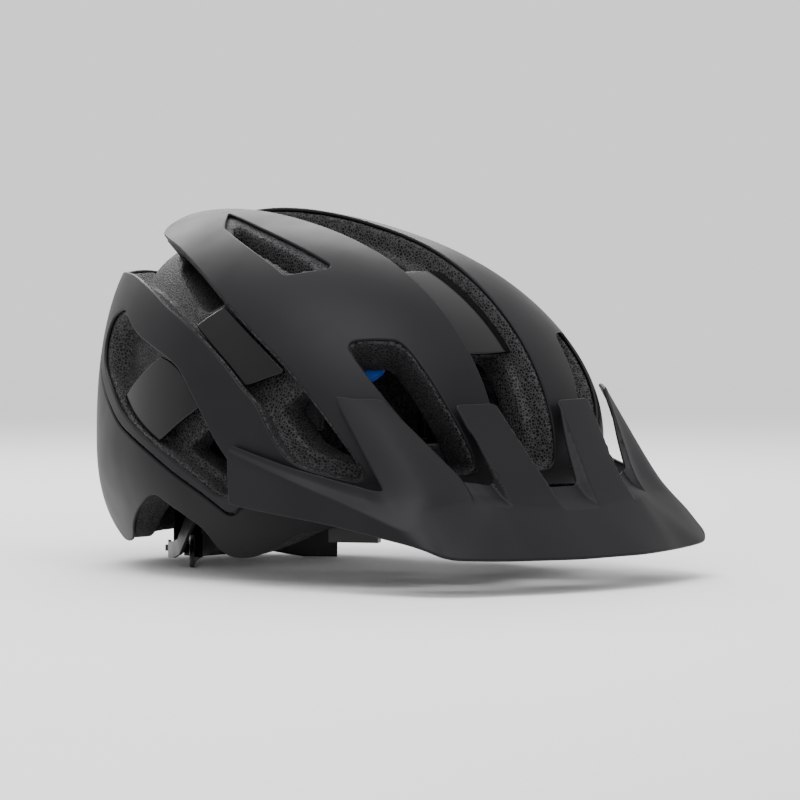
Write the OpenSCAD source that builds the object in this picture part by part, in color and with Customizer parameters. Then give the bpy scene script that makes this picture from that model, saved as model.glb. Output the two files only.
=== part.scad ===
// Trail cycling helmet: foam liner, two-part thin shell, tilting visor, fit cradle,
// straps and buckle. Millimetres. +Z up, the face looks along -Y, the wearer's left is +X.

/* [Shell] */
// Half width of the shell at its widest line
half_w = 107; // [104:0.5:109]
// Reach of the shell from its widest station to the front
front_r = 127; // [124:0.5:129]
// Reach of the shell from its widest station to the back
rear_r = 140.5; // [139:0.5:143]
// Rise of the shell from its widest line to the crown
crown_h = 108; // [106:0.5:111]
// Thickness of the plastic skin
skin_t = 1.6; // [1.2:0.1:1.8]
// Foam thickness plus skin, measured inwards from the outside
liner_t = 27; // [26:0.5:28]
// Half width of the middle air channel
channel_w = 19.6; // [17.1:0.5:21.1]

/* [Visor] */
// Thickness of the visor plastic
visor_t = 1.8; // [1.8:0.1:2.4]
// Radius of the pins that the visor turns on
pivot_r = 4; // [3:0.1:4.5]
// Station of the pivot axis
pivot_y = -24; // [-26:0.5:-22]
// Height of the pivot axis over the floor
pivot_z = 50; // [48:0.5:52]

/* [Fit system] */
// Radius of the cradle's back plate round the nape
cradle_r = 60; // [59:0.5:61]
// Pitch radius of the dial's pinion
pinion_r = 6; // [5.5:0.1:6.3]
// Half distance between the two temple pins
temple_x = 76; // [75.5:0.5:76.5]

/* [Straps] */
// Width of the webbing
web_w = 16; // [14:1:18]
// Thickness of the webbing
web_t = 1.4; // [1.2:0.1:1.6]

/* [Hidden] */
$fn = 40;

// ---- master surface ----
mid_y = 22;        // widest station
waist_z = 62;      // widest line
skirt_h = 80;      // fall of the shell from the widest line
deep = 400;        // fall that leaves a wall almost upright
lean = 0.21;       // how much the crown leans to the back
n_roll = 2.33;     // squareness across
n_plan_f = 2.7;    // squareness in plan, front and back
n_plan_r = 1.8;
n_side_f = 1.85;   // squareness in side view, front and back
n_side_r = 4.4;
gap = 0.4;         // free space between a skin and the foam
ray_hub = [0, 10, 50];

function pw(v, e) = sign(v) * pow(abs(v), e);
function unit(v) = v / norm(v);
function front(c) = c > 0;

// The back end is blunter than its superellipse: past blunt_y the length is squeezed.
blunt_y = 133;
blunt_l = 22;
function tanh(u) = 1 - 2 / (exp(2 * u) + 1);
function squeeze(y) = y < blunt_y ? y : blunt_y + blunt_l * tanh((y - blunt_y) / blunt_l);
function stretch(y) = y < blunt_y ? y :
    let (u = min(0.9999, (y - blunt_y) / blunt_l)) blunt_y + blunt_l * ln((1 + u) / (1 - u)) / 2;

// Point at a roll angle (0 crown, 90 left side) and a station angle (0 front, 180 back),
// pushed inwards by t.
function dome(roll, sta, t = 0, skirt = skirt_h) =
    let (c = cos(sta), s = sin(sta),
        np = front(c) ? n_plan_f : n_plan_r,
        ns = front(c) ? n_side_f : n_side_r,
        long_y = mid_y - ((front(c) ? front_r : rear_r) - t) * pw(c, 2 / np),
        y = squeeze(long_y + t) - t,
        x = (half_w - t) * pow(s, 2 / np) * pw(sin(roll), 2 / n_roll),
        high = (cos(roll) > 0 ? crown_h : skirt) - t,
        z0 = high * pow(s, 2 / ns) * pw(cos(roll), 2 / n_roll),
        tip = max(0, min(1, z0 / (crown_h - t))))
    [x, y, waist_z + z0 + lean * (y - mid_y) * tip];

// The same surface found from a side-view place: station y and height z.
function side(y, z, t = 0, skirt = skirt_h) =
    let (f = y < mid_y, np = f ? n_plan_f : n_plan_r, ns = f ? n_side_f : n_side_r,
        long_y = stretch(y + t) - t,
        c = min(1, pow(abs(long_y - mid_y) / ((f ? front_r : rear_r) - t), np / 2)),
        s = sqrt(1 - c * c), dz = z - waist_z,
        z0 = dz > 0 ? dz / (1 + lean * (y - mid_y) / (crown_h - t)) : dz,
        high = ((dz > 0 ? crown_h : skirt) - t) * pow(s, 2 / ns),
        cr = min(1, pow(abs(z0) / high, n_roll / 2)))
    [(half_w - t) * pow(s, 2 / np) * pow(1 - cr * cr, 1 / n_roll), y, z];

// The same surface found from a front-view place, by halving the interval of y.
function front_y(x, z, t, lo, hi, steps) =
    steps == 0 ? (lo + hi) / 2 :
    let (m = (lo + hi) / 2)
    side(m, z, t)[0] > x ? front_y(x, z, t, lo, m, steps - 1) : front_y(x, z, t, m, hi, steps - 1);
function face(x, z, t = 0) = [x, front_y(x, z, t, mid_y - front_r + t, mid_y, 24), z];

// Closed solid inside the master surface.
module dome_solid(t = 0, skirt = skirt_h, roll_step = 6, sta_step = 6) {
    rolls = 360 / roll_step;
    stas = 180 / sta_step;
    pts = concat([dome(0, 0, t, skirt)],
        [for (i = [1 : stas - 1], j = [0 : rolls - 1]) dome(j * roll_step, i * sta_step, t, skirt)],
        [dome(0, 180, t, skirt)]);
    last = len(pts) - 1;
    ring = function(i, j) 1 + (i - 1) * rolls + j % rolls;
    polyhedron(pts, concat(
        [for (j = [0 : rolls - 1]) [0, ring(1, j), ring(1, j + 1)]],
        [for (i = [1 : stas - 2], j = [0 : rolls - 1])
            [ring(i, j), ring(i + 1, j), ring(i + 1, j + 1), ring(i, j + 1)]],
        [for (j = [0 : rolls - 1]) [last, ring(stas - 1, j + 1), ring(stas - 1, j)]]));
}

// Skin between two depths.
module skin(t0, t1) difference() {
    dome_solid(t0);
    dome_solid(t1);
}

// Prism whose walls run along rays from the hub through an outline on the surface.
module ray_prism(outline, near = 0.55, far = 1.3) {
    n = len(outline);
    pts = [for (k = [near, far], p = outline) ray_hub + k * (p - ray_hub)];
    polyhedron(pts, concat(
        [[for (i = [0 : n - 1]) i]],
        [[for (i = [n - 1 : -1 : 0]) n + i]],
        [for (i = [0 : n - 1]) [i, n + i, n + (i + 1) % n, (i + 1) % n]]));
}
// Prism across X through a side-view outline, on the left side only.
module side_prism(outline, x0 = 30)
    translate([x0, 0, 0]) rotate([90, 0, 90]) linear_extrude(120) polygon(outline);
// Upright prism through a plan outline.
module plan_prism(outline, z0 = 95)
    translate([0, 0, z0]) linear_extrude(120) polygon(outline);
module both_sides() {
    children();
    mirror([1, 0, 0]) children();
}
// Every part sits so that the whole is centred over the origin.
centre_y = 4.924;
module seat() translate([0, centre_y, 0]) children();
// One smooth body made from the parts inside.
module fused() resize([0, 0, 0]) children();

// ---- outlines: side view [y, z], plan [x, y], front view [x, z] ----
side_vent_top = [[106, 166], [100, 163], [67, 156], [41, 147], [16, 135], [-10, 121],
    [-37, 104], [-61, 81], [-71, 67], [-77, 56], [-78, 53]];
side_vent_low = [[-76, 51], [-72, 51], [-61, 54], [-51, 57], [-44, 61], [-37, 69], [-25, 86],
    [-16, 93], [-3, 103], [13, 113], [33, 123], [54, 131], [74, 138], [100, 145], [106, 146]];
rear_vent = [[94, 127], [109, 121], [114, 110], [109, 101], [92, 90], [76, 79], [60, 71],
    [43, 64], [25, 56], [10, 48], [0, 42], [-6, 41], [-12, 44], [-14, 49], [-11, 57], [-3, 66],
    [4, 75], [16, 89], [27, 100], [39, 106], [51, 110], [73, 117]];
crown_vent = [[47, 54], [29, 70], [41, 36], [47, 3], [49, -22], [52, -23], [63, -14], [67, -9],
    [66, -4], [56, 33]];
front_vent = [[75, 111], [74, 114], [71.3, 115.6], [54.3, 115.5], [51.8, 113.4], [49, 101], [45, 86],
    [38, 69], [31, 53], [42, 53], [56, 65], [68, 82], [73, 95], [75, 104]];
groove_line = [[175, 110], [129, 105], [106, 90], [90, 80], [76, 72], [60, 66], [45, 60],
    [26, 51], [10, 43], [0, 37], [-5, 33], [-10, 33], [-18, 38], [-45, 38], [-70, 40],
    [-95, 44], [-115, 47]];
rim_line = [[175, 17], [150, 14], [119, 12], [96, 13], [85, 17], [74, 25], [59, 34], [45, 40],
    [32, 34], [22, 29], [14, 22], [12, 14], [6, 11], [-7, 11], [-15, 13], [-29, 18],
    [-42, 24], [-52, 26], [-75, 33], [-95, 38], [-115, 41]];
groove_w = 1.2;
notch_y = 106;
notch_z = 143;
slot_floor_z = 53;

module below(line, drop = 0)
    translate([-150, 0, -drop]) rotate([90, 0, 90])
        linear_extrude(300) polygon(concat(line, [[-200, line[len(line) - 1][1]], [-200, -150], [200, -150], [200, line[0][1]]]));
module side_vent() side_prism(concat(side_vent_top, side_vent_low));
module rear_notch() translate([-150, notch_y, notch_z]) cube([300, 100, 60]);
module middle_channel() translate([0, 0, slot_floor_z]) linear_extrude(140)
    polygon([[-channel_w, -140], [channel_w, -140], [channel_w, -20], [channel_w - 3, 60],
        [channel_w - 3, 130], [3 - channel_w, 130], [3 - channel_w, 60], [-channel_w, -20]]);
module all_vents() {
    middle_channel();
    rear_notch();
    both_sides() {
        side_vent();
        side_prism(rear_vent);
        plan_prism(crown_vent);
        ray_prism([for (p = front_vent) face(p[0], p[1])]);
    }
}
module across(r, x0, x1) translate([x0, pivot_y, pivot_z]) rotate([0, 90, 0]) cylinder(r = r, h = x1 - x0);

// ---- shells ----
module upper_shell() color("#222326") seat() fused() difference() {
    skin(0, skin_t);
    below(groove_line);
    all_vents();
    both_sides() across(9.4, 80, 120);
}
module lower_shell() color("#1c1d20") seat() fused() difference() {
    intersection() {
        skin(0, skin_t);
        below(groove_line, groove_w);
    }
    below(rim_line);
}

// ---- foam ----
recess = 13; // depth of the foam's surface under the skin inside a vent
side_window = [[-28, 83], [-43, 94], [-59, 77], [-69, 64], [-73, 56], [-61, 59], [-50, 62],
    [-42, 67], [-35, 75]];
side_cell = [[36, 126], [24, 133], [46, 143], [68, 151], [88, 153], [80, 145], [58, 136]];
rear_window = [[30, 62], [8, 77], [-7, 58], [-8, 50], [-3, 47], [12, 54]];
module eps_liner() color("#3a3b3d") seat() fused() difference() {
    dome_solid(skin_t + gap, roll_step = 7.5, sta_step = 7.5);
    dome_solid(liner_t, deep, roll_step = 7.5, sta_step = 7.5);
    below(rim_line, -1.5);
    difference() {
        all_vents();
        dome_solid(recess, roll_step = 7.5, sta_step = 7.5);
    }
    both_sides() {
        side_prism(side_window);
        side_prism(side_cell);
        side_prism(rear_window);
        ray_prism([for (p = front_vent) face(p[0], p[1])]);
        plan_prism([[50, 44], [37, 58], [46, 32], [51, 0], [53, -16], [62, -9], [56, 28]]);
        across(9.4, 83.5, 120);
        translate([temple_x, temple_y, temple_z - 10.5]) cylinder(r = 7, h = 21);
    }
    translate([-14, -140, 60]) cube([28, 80, 46]);
    translate([-12, -24, 110]) cube([24, 46, 80]);
    translate([-12, 46, 110]) cube([24, 40, 80]);
}

// ---- glossy bridge plates in the channels ----
module plate(outline, t0) fused() intersection() {
    skin(t0, t0 + 1.8);
    side_prism(outline);
}
module centre_bridge() color("#0b0b0d") seat() fused() intersection() {
    skin(7, 9);
    translate([0.5 - channel_w, -86, 80]) cube([2 * channel_w - 1, 53, 100]);
}
side_plate = [[29, 123.5], [16, 133], [-10, 118.5], [-36, 102], [-15, 96], [-3, 105], [13, 115]];
rear_plate = [[50, 107], [83, 86], [76, 80.5], [60, 72.5], [44, 66], [15, 83], [28, 98], [39, 104]];
module side_bridge() color("#0b0b0d") seat() plate(side_plate, 3.4);
module side_bridge_left() side_bridge();
module side_bridge_right() mirror([1, 0, 0]) side_bridge();
module rear_bridge() color("#0b0b0d") seat() plate(rear_plate, 3.4);
module rear_bridge_left() rear_bridge();
module rear_bridge_right() mirror([1, 0, 0]) rear_bridge();

// ---- visor: rows run from the prong tips over the bend and the crease to the edge ----
visor_net = [
    [[0, -105.4, 86.4], [0, -134.5, 46.2], [0, -141, 37.5], [0, -162, 16.3]],
    [[21.2, -104.4, 86.5], [19.4, -133.2, 46.2], [19, -140, 37.8], [21, -161.5, 16.3]],
    [[45.2, -101, 86.8], [42.5, -128.7, 48.3], [42, -135, 40], [42, -157.5, 16.6]],
    [[61.3, -93.4, 89.3], [52.4, -124.2, 49.4], [50.5, -131.5, 41], [60, -151.5, 16.8]],
    [[76.8, -83.5, 89.8], [62, -118.3, 50], [59.5, -126.5, 41.7], [77, -146, 17.6]],
    [[84.9, -75.4, 89.9], [80, -113, 49.5], [83, -121.5, 38], [88, -139.5, 18.6]],
    [[91.4, -66.8, 90.6], [91, -99, 48], [96.5, -119, 31.5], [96, -129, 22.6]],
    [[96, -60, 86], [95, -88, 47], [102.3, -99, 37.5], [102, -105, 27]],
    [[101, -45, 84], [99.5, -70, 51], [105, -73, 45], [105.5, -76, 31.5]],
    [[104, -25, 82], [104.9, -48, 56.5], [109, -48, 53], [109.3, -50, 34.5]],
    [[107.8, -5, 80], [108.4, -15, 65.5], [110.6, -14, 63], [110.6, -15, 38]]];
visor_cols = 10;
function net(i, j) = let (p = visor_net[abs(i)][j]) [sign(i) * p[0], p[1], p[2]];
function catmull(a, b, c, d, f) =
    0.5 * (2 * b + (c - a) * f + (2 * a - 5 * b + 4 * c - d) * f * f
    + (3 * b - a - 3 * c + d) * f * f * f);
function clamp(v, lo, hi) = max(lo, min(hi, v));
function net_end(i, j) = abs(i) > visor_cols ?
    2 * net(sign(i) * visor_cols, j) - net(sign(i) * (visor_cols - 1), j) : net(i, j);
function net_row(i, v) = let (j = clamp(floor(v), 0, 2), f = v - j,
        b = net_end(i, j), c = net_end(i, j + 1),
        a = j == 0 ? 2 * b - c : net_end(i, j - 1), d = j == 2 ? 2 * c - b : net_end(i, j + 2))
    catmull(a, b, c, d, f);
function sheet(u, v) = let (i = clamp(floor(u), -visor_cols, visor_cols - 1), f = u - i)
    catmull(net_row(i - 1, v), net_row(i, v), net_row(i + 1, v), net_row(i + 2, v), f);
function sheet_normal(u, v) = let (e = 0.02)
    unit(cross(sheet(u + e, v) - sheet(u - e, v), sheet(u, v + e) - sheet(u, v - e)));
module visor_sheet(per_u = 2, per_v = 3) {
    nu = 2 * visor_cols * per_u;
    nv = 3 * per_v;
    top = [for (i = [0 : nu], j = [0 : nv]) sheet(i / per_u - visor_cols, j / per_v)];
    low = [for (i = [0 : nu], j = [0 : nv]) let (u = i / per_u - visor_cols, v = j / per_v)
        sheet(u, v) + visor_t * sheet_normal(u, v)];
    m = nv + 1;
    k = len(top);
    edge = concat([for (i = [0 : nu]) i * m], [for (j = [1 : nv]) nu * m + j],
        [for (i = [nu - 1 : -1 : 0]) i * m + nv], [for (j = [nv - 1 : -1 : 1]) j]);
    polyhedron(concat(top, low), concat(
        [for (i = [0 : nu - 1], j = [0 : nv - 1]) each [
            [i * m + j, (i + 1) * m + j, (i + 1) * m + j + 1],
            [i * m + j, (i + 1) * m + j + 1, i * m + j + 1],
            [k + i * m + j, k + (i + 1) * m + j + 1, k + (i + 1) * m + j],
            [k + i * m + j, k + i * m + j + 1, k + (i + 1) * m + j + 1]]],
        [for (e = [0 : len(edge) - 1]) let (p = edge[e], q = edge[(e + 1) % len(edge)])
            each [[p, k + p, k + q], [p, k + q, q]]]));
}
middle_slot = [[-21.5, 95], [21.5, 95], [21, 84], [11, 46], [-11, 46], [-21, 84]];
side_slot = [[45, 95], [44.8, 86], [42.6, 50], [56, 51], [75, 88], [76, 95]];
arm_gap = [[-63, 95], [-64, 88.5], [-95, 48.5], [-97, 46.2], [-88, 48], [-70, 52.2], [-48, 57.8],
    [-15, 66.8], [5, 70], [8, 95]];
module front_prism(outline) translate([0, -50, 0]) rotate([90, 0, 0]) linear_extrude(100) polygon(outline);
module visor() color("#232428") seat() fused() difference() {
    visor_sheet();
    front_prism(middle_slot);
    both_sides() {
        front_prism(side_slot);
        side_prism(arm_gap, 60);
    }
}

// ---- visor pivots ----
hub_x = 105;
module visor_hub() color("#151517") seat() difference() {
    across(8, hub_x, 108.6);
    across(pivot_r + 0.05, hub_x - 1, 107.6);
}
module visor_hub_left() visor_hub();
module visor_hub_right() mirror([1, 0, 0]) visor_hub();
module pivot_socket() color("#26272a") seat() difference() {
    across(9, 84, 104);
    across(pivot_r, 90, 106);
}
module pivot_socket_left() pivot_socket();
module pivot_socket_right() mirror([1, 0, 0]) pivot_socket();
module pivot_pin() color("silver") seat() across(pivot_r, 90, 107.2);
module pivot_pin_left() pivot_pin();
module pivot_pin_right() mirror([1, 0, 0]) pivot_pin();

// ---- pads ----
pad_t = 7; // thickness of a comfort pad
// Patch between two depths over a range of two surface angles, points from a function.
module patch(point, u0, u1, v0, v1, nu, nv) {
    pts = [for (side = [0, 1], i = [0 : nu], j = [0 : nv])
        point(u0 + (u1 - u0) * i / nu, v0 + (v1 - v0) * j / nv, side)];
    m = nv + 1;
    k = (nu + 1) * m;
    edge = concat([for (i = [0 : nu]) i * m], [for (j = [1 : nv]) nu * m + j],
        [for (i = [nu - 1 : -1 : 0]) i * m + nv], [for (j = [nv - 1 : -1 : 1]) j]);
    polyhedron(pts, concat(
        [for (i = [0 : nu - 1], j = [0 : nv - 1]) each [
            [i * m + j, (i + 1) * m + j + 1, (i + 1) * m + j],
            [i * m + j, i * m + j + 1, (i + 1) * m + j + 1],
            [k + i * m + j, k + (i + 1) * m + j, k + (i + 1) * m + j + 1],
            [k + i * m + j, k + (i + 1) * m + j + 1, k + i * m + j + 1]]],
        [for (e = [0 : len(edge) - 1]) let (p = edge[e], q = edge[(e + 1) % len(edge)])
            each [[p, k + q, k + p], [p, q, k + q]]]));
}
pad_in = liner_t + 0.6;
wall_point = function(a, z, s) let (p = dome(90, abs(a), pad_in + s * pad_t, deep)) [sign(a) * p[0], p[1], z];
crown_point = function(r, a, s) dome(r, a, pad_in + s * pad_t, deep);
module brow_pad() color("#2b2c2e") seat() patch(wall_point, -46, 46, 50, 66, 12, 1);
module crown_pad_front() color("#2b2c2e") seat() patch(crown_point, -22, 22, 46, 68, 8, 5);
module crown_pad_rear() color("#2b2c2e") seat() patch(crown_point, -22, 22, 104, 126, 8, 5);
module side_pad() patch(crown_point, 62, 82, 60, 80, 5, 5);
module side_pad_left() color("#2b2c2e") seat() side_pad();
module side_pad_right() color("#2b2c2e") seat() mirror([1, 0, 0]) side_pad();

// ---- shear discs on the inside of the foam ----
disc_r = 13;
disc_h = 4;
module on_wall(roll, sta) {
    e = 0.5;
    p = dome(roll, sta, liner_t, deep);
    n = unit(cross(dome(roll + e, sta, liner_t, deep) - dome(roll - e, sta, liner_t, deep),
        dome(roll, sta + e, liner_t, deep) - dome(roll, sta - e, liner_t, deep)));
    translate(p) rotate([0, acos(n[2]), atan2(n[1], n[0])]) children();
}
module shear_disc(roll, sta) color("#1f6fb5") seat() on_wall(roll, sta) translate([0, 0, -1.8 - disc_h])
    difference() {
        cylinder(r = disc_r, h = disc_h);
        for (a = [0 : 60 : 300]) rotate(a) translate([disc_r * 0.6, 0, -1]) cylinder(r = 2.6, h = disc_h + 2);
    }
module shear_disc_front_left() shear_disc(39, 58);
module shear_disc_front_right() mirror([1, 0, 0]) shear_disc(39, 58);
module shear_disc_side_left() shear_disc(46, 92);
module shear_disc_side_right() mirror([1, 0, 0]) shear_disc(46, 92);
module shear_disc_rear_left() shear_disc(40, 122);
module shear_disc_rear_right() mirror([1, 0, 0]) shear_disc(40, 122);

// ---- straps ----
// Flat strip along a path; its width lies along the given direction.
module ribbon(path, along, w, t) {
    n = len(path);
    tan = function(i) unit(path[min(n - 1, i + 1)] - path[max(0, i - 1)]);
    wide = function(i) unit(along - (along * tan(i)) * tan(i));
    pts = [for (i = [0 : n - 1], k = [[-1, -1], [1, -1], [1, 1], [-1, 1]])
        path[i] + k[0] * w / 2 * wide(i) + k[1] * t / 2 * cross(tan(i), wide(i))];
    polyhedron(pts, concat(
        [[0, 1, 2], [0, 2, 3]],
        [for (i = [0 : n - 2], k = [0 : 3]) let (a = i * 4 + k, b = i * 4 + (k + 1) % 4)
            each [[a, a + 4, b + 4], [a, b + 4, b]]],
        [let (e = (n - 1) * 4) each [[e, e + 2, e + 1], [e, e + 3, e + 2]]]));
}
front_end = [61.6, -52, 36];
rear_end = [57.5, 86, 42];
divider = [68.6, 20, 68];
strap_depth = 36; // depth of the webbing under the outside
module anchor(p, turn) translate(p) rotate(turn) difference() {
    translate([-1.5, -12, -7]) cube([6.5, 24, 14]);
    translate([-3, -9, -1.5]) cube([3, 18, 3]);
}
module front_anchor() anchor(front_end + [0.6, 0, -9], -32);
module front_anchor_left() color("#151517") seat() front_anchor();
module front_anchor_right() color("#151517") seat() mirror([1, 0, 0]) front_anchor();
module rear_anchor() anchor(rear_end + [1, 2, -5], 46);
module rear_anchor_left() color("#151517") seat() rear_anchor();
module rear_anchor_right() color("#151517") seat() mirror([1, 0, 0]) rear_anchor();
module front_strap() ribbon([front_end + [0, 0, -9], [63.2, -44, 40], [67, -22, 52],
    [68.6, 0, 62], divider + [0, -9, 1]], [0, -0.3, 1], web_w - 3, web_t);
module front_strap_left() color("#222224") seat() front_strap();
module front_strap_right() color("#222224") seat() mirror([1, 0, 0]) front_strap();
module rear_strap() ribbon([rear_end + [0, 0, -5], [59.5, 79, 46], [64.5, 62, 54],
    [67.8, 42, 62], divider + [0, 9, 1]], [0, 0.3, 1], web_w - 3, web_t);
module rear_strap_left() color("#222224") seat() rear_strap();
module rear_strap_right() color("#222224") seat() mirror([1, 0, 0]) rear_strap();
module strap_divider() translate(divider) difference() {
    translate([-1.8, -15, -11]) cube([3.6, 30, 26]);
    for (y = [-10, 10]) translate([-3, y - 1.5, -8]) cube([6, 3, 15]);
    translate([-3, -9, 10]) cube([6, 18, 2.5]);
}
module strap_divider_left() color("#151517") seat() strap_divider();
module strap_divider_right() color("#151517") seat() mirror([1, 0, 0]) strap_divider();
chin_point = function(r, a, s) dome(r, a, strap_depth + s * web_t, deep);
module chin_strap() patch(chin_point, 15, 77, 87.6, 95.9, 12, 1);
module chin_strap_left() color("#222224") seat() chin_strap();
module chin_strap_right() color("#222224") seat() mirror([1, 0, 0]) chin_strap();
chin_pad_point = function(r, a, s) dome(r, a, strap_depth + web_t + 0.2 + s * 3.4, deep);
module chin_pad() color("#2b2c2e") seat() patch(chin_pad_point, 26, 56, 86.6, 98, 7, 1);

// ---- buckle, closed, tucked under the crown ----
buckle_z = 124.5;
magnet_r = 3.2;
module block(x0, x1, half_y, z0, z1)
    translate([x0, mid_y - half_y, z0]) cube([x1 - x0, 2 * half_y, z1 - z0]);
module buckle_body() color("#151517") seat() difference() {
    block(-24, 4, 12, buckle_z, buckle_z + 8);
    block(-12, 6, 8.4, buckle_z + 2.4, buckle_z + 6.4);
    for (y = [-5, 5]) translate([-6, mid_y + y, buckle_z + 1]) cylinder(r = magnet_r, h = 3);
    block(-18, 0, 4.2, buckle_z - 1, buckle_z + 0.8);
}
module buckle_magnets() color("silver") seat() for (y = [-5, 5])
    translate([-6, mid_y + y, buckle_z + 1]) cylinder(r = magnet_r - 0.05, h = 1.3);
module buckle_tongue() color("#26272a") seat() {
    block(-11.6, 6, 8, buckle_z + 2.6, buckle_z + 6.2);
    block(4.4, 24, 11, buckle_z + 1.4, buckle_z + 7.6);
}
module buckle_slider() color("#3b3d42") seat() {
    block(-17, -7, 3.8, buckle_z - 1.2, buckle_z + 0.6);
    for (x = [-15, -12, -9]) translate([x, mid_y - 3, buckle_z - 1.7]) cube([1, 6, 0.7]);
}

// ---- fit cradle round the nape ----
cradle_y = 39;
dial_z = 16.5;
housing_y = cradle_y + cradle_r + 2;
module arc_wall(r0, r1, z0, z1) translate([0, cradle_y, z0]) difference() {
    cylinder(r = r1, h = z1 - z0, $fn = 96);
    translate([0, 0, -1]) cylinder(r = r0, h = z1 - z0 + 2, $fn = 96);
}
module rear_view(outline, y0 = 50, depth = 100)
    translate([0, y0 + depth, 0]) rotate([90, 0, 0]) linear_extrude(depth) polygon(outline);
function oval(x, z, rx, rz) = [for (a = [0 : 15 : 345]) [x + rx * cos(a), z + rz * sin(a)]];
module cradle() color("#202124") seat() difference() {
    intersection() {
        arc_wall(cradle_r, cradle_r + 2, 0, 40);
        rear_view([[-49, 0], [-38, 0], [-24, 3], [24, 3], [38, 0], [49, 0], [50, 16], [40, 25],
            [22, 31], [-22, 31], [-40, 25], [-50, 16]]);
    }
    for (x = [-35, 35]) rear_view(oval(x, 13, 8, 7));
    rear_view(oval(0, dial_z, 2.6, 2.6));
}
module cradle_pads() color("#2b2c2e") seat() intersection() {
    arc_wall(cradle_r - 4, cradle_r - 0.2, 3, 24);
    for (k = [-1, 1]) rear_view([[k * 14, 6], [k * 14, 22], [k * 24, 24], [k * 46, 16], [k * 46, 5],
        [k * 26, 4]]);
}
cover_out = 9.5;
module cradle_cover() color("#18191b") seat() difference() {
    translate([-29, housing_y - 1, dial_z - 14]) cube([58, cover_out + 1, 28]);
    translate([-31, housing_y - 2, dial_z - 11.9]) cube([62, cover_out + 0.2, 23.8]);
    translate([0, housing_y + 5, dial_z]) rotate([-90, 0, 0]) cylinder(r = 3.05, h = 9);
    for (x = [-32, 22], z = [dial_z - 20, dial_z + 12.1])
        translate([x, housing_y - 3, z]) cube([10, 20, 8]);
}
module dial_knob() color("#17181a") seat() translate([0, housing_y + cover_out + 0.4, dial_z])
    rotate([-90, 0, 0]) difference() {
        union() {
            cylinder(r = 12.5, h = 7);
            translate([0, 0, -3]) cylinder(r = 3, h = 4);
        }
        for (a = [0 : 30 : 330]) rotate(a) translate([13.4, 0, -1]) cylinder(r = 2, h = 9, $fn = 16);
        translate([0, 0, 5.6]) cylinder(r = 8.5, h = 2);
    }
rack_y = housing_y + 1.3;
rack_w = 4.2;
tooth_h = 2.2;
teeth = 12;
module dial_pinion() color("silver") seat() translate([0, rack_y - 0.4, dial_z]) rotate([-90, 0, 0]) {
    linear_extrude(rack_w + 0.8) union() {
        circle(r = pinion_r - tooth_h / 2 - 0.1);
        for (i = [0 : teeth - 1]) rotate(i * 360 / teeth) polygon([[0, -1.2], [pinion_r, -0.7],
            [pinion_r + 0.8, -0.3], [pinion_r + 0.8, 0.3], [pinion_r, 0.7], [0, 1.2]]);
    }
    cylinder(r = 2.9, h = housing_y + cover_out + 0.4 - 3 - rack_y + 0.4);
}
// Straight rack whose teeth point down; the pitch equals that of the pinion.
pitch = 2 * PI * pinion_r / teeth;
module rack(shift) translate([0, rack_y + rack_w, dial_z + pinion_r]) rotate([90, 0, 0])
    linear_extrude(rack_w) union() {
        translate([-24, 1.5]) square([62, 3]);
        for (i = [-7 : 6]) translate([(i + shift) * pitch, 0])
            polygon([[-1.1, 1.6], [-0.35, -0.6], [0.35, -0.6], [1.1, 1.6]]);
    }
module rack_left() color("#2a2b2e") seat() rack(0.5);
module rack_right() color("#2a2b2e") seat() translate([0, 0, 2 * dial_z]) rotate([0, 180, 0]) rack(0.5);
temple_y = -30;
temple_z = 50;
function band_path(drop) = [[73.2, -27, temple_z], [73.8, -18, 49.6], [74.4, -5, 48.5],
    [74.4, 8, 46.5], [73.8, 20, 43.5], [72, 34, 39.5], [69, 48, 35], [64.8, 61, 31 + drop / 2],
    [59.4, 73, 27.4 + drop], [53, 84, 25 + drop], [46.4, 93.4, 24 + drop],
    [41.6, 99.5, 24 + drop], [37, housing_y + 3.4, 24 + drop]];
module band(drop, wide) difference() {
    union() {
        ribbon(band_path(drop), [0, 0, 1], wide, 1.6);
        translate([temple_x, temple_y, temple_z - 6]) cylinder(r = 4.4, h = 12);
    }
    translate([temple_x, temple_y, temple_z - 8]) cylinder(r = 2.05, h = 16);
}
module band_left() color("#26272a") seat() band(dial_z + 9 - 24, 8);
module band_right() color("#26272a") seat() mirror([1, 0, 0]) band(dial_z - 9 - 24, 8);
module temple_pin() translate([temple_x, temple_y, temple_z]) {
    translate([0, 0, -8]) cylinder(r = 2, h = 16);
    for (z = [-9, 7]) translate([-3, -4, z]) cube([10, 8, 2]);
}
module temple_pin_left() color("silver") seat() temple_pin();
module temple_pin_right() color("silver") seat() mirror([1, 0, 0]) temple_pin();
peg_x = 14;
peg_z = 66;
module yoke_straps() color("#26272a") seat() both_sides() difference() {
    union() {
        ribbon([[peg_x, housing_y - 2.4, 28], [peg_x, housing_y - 1.2, 33],
            [peg_x, 106, 42], [peg_x, 114, 54], [peg_x, 115, 60]], [1, 0, 0], 9, 2);
        translate([peg_x - 6, 114, 58]) cube([12, 2, 20]);
    }
    translate([peg_x, 112, peg_z]) rotate([-90, 0, 0]) cylinder(r = 3.08, h = 6);
}
module height_pegs() color("#1c1d1f") seat() both_sides()
    translate([peg_x, 112, peg_z]) rotate([-90, 0, 0]) cylinder(r = 3, h = 16);

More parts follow.
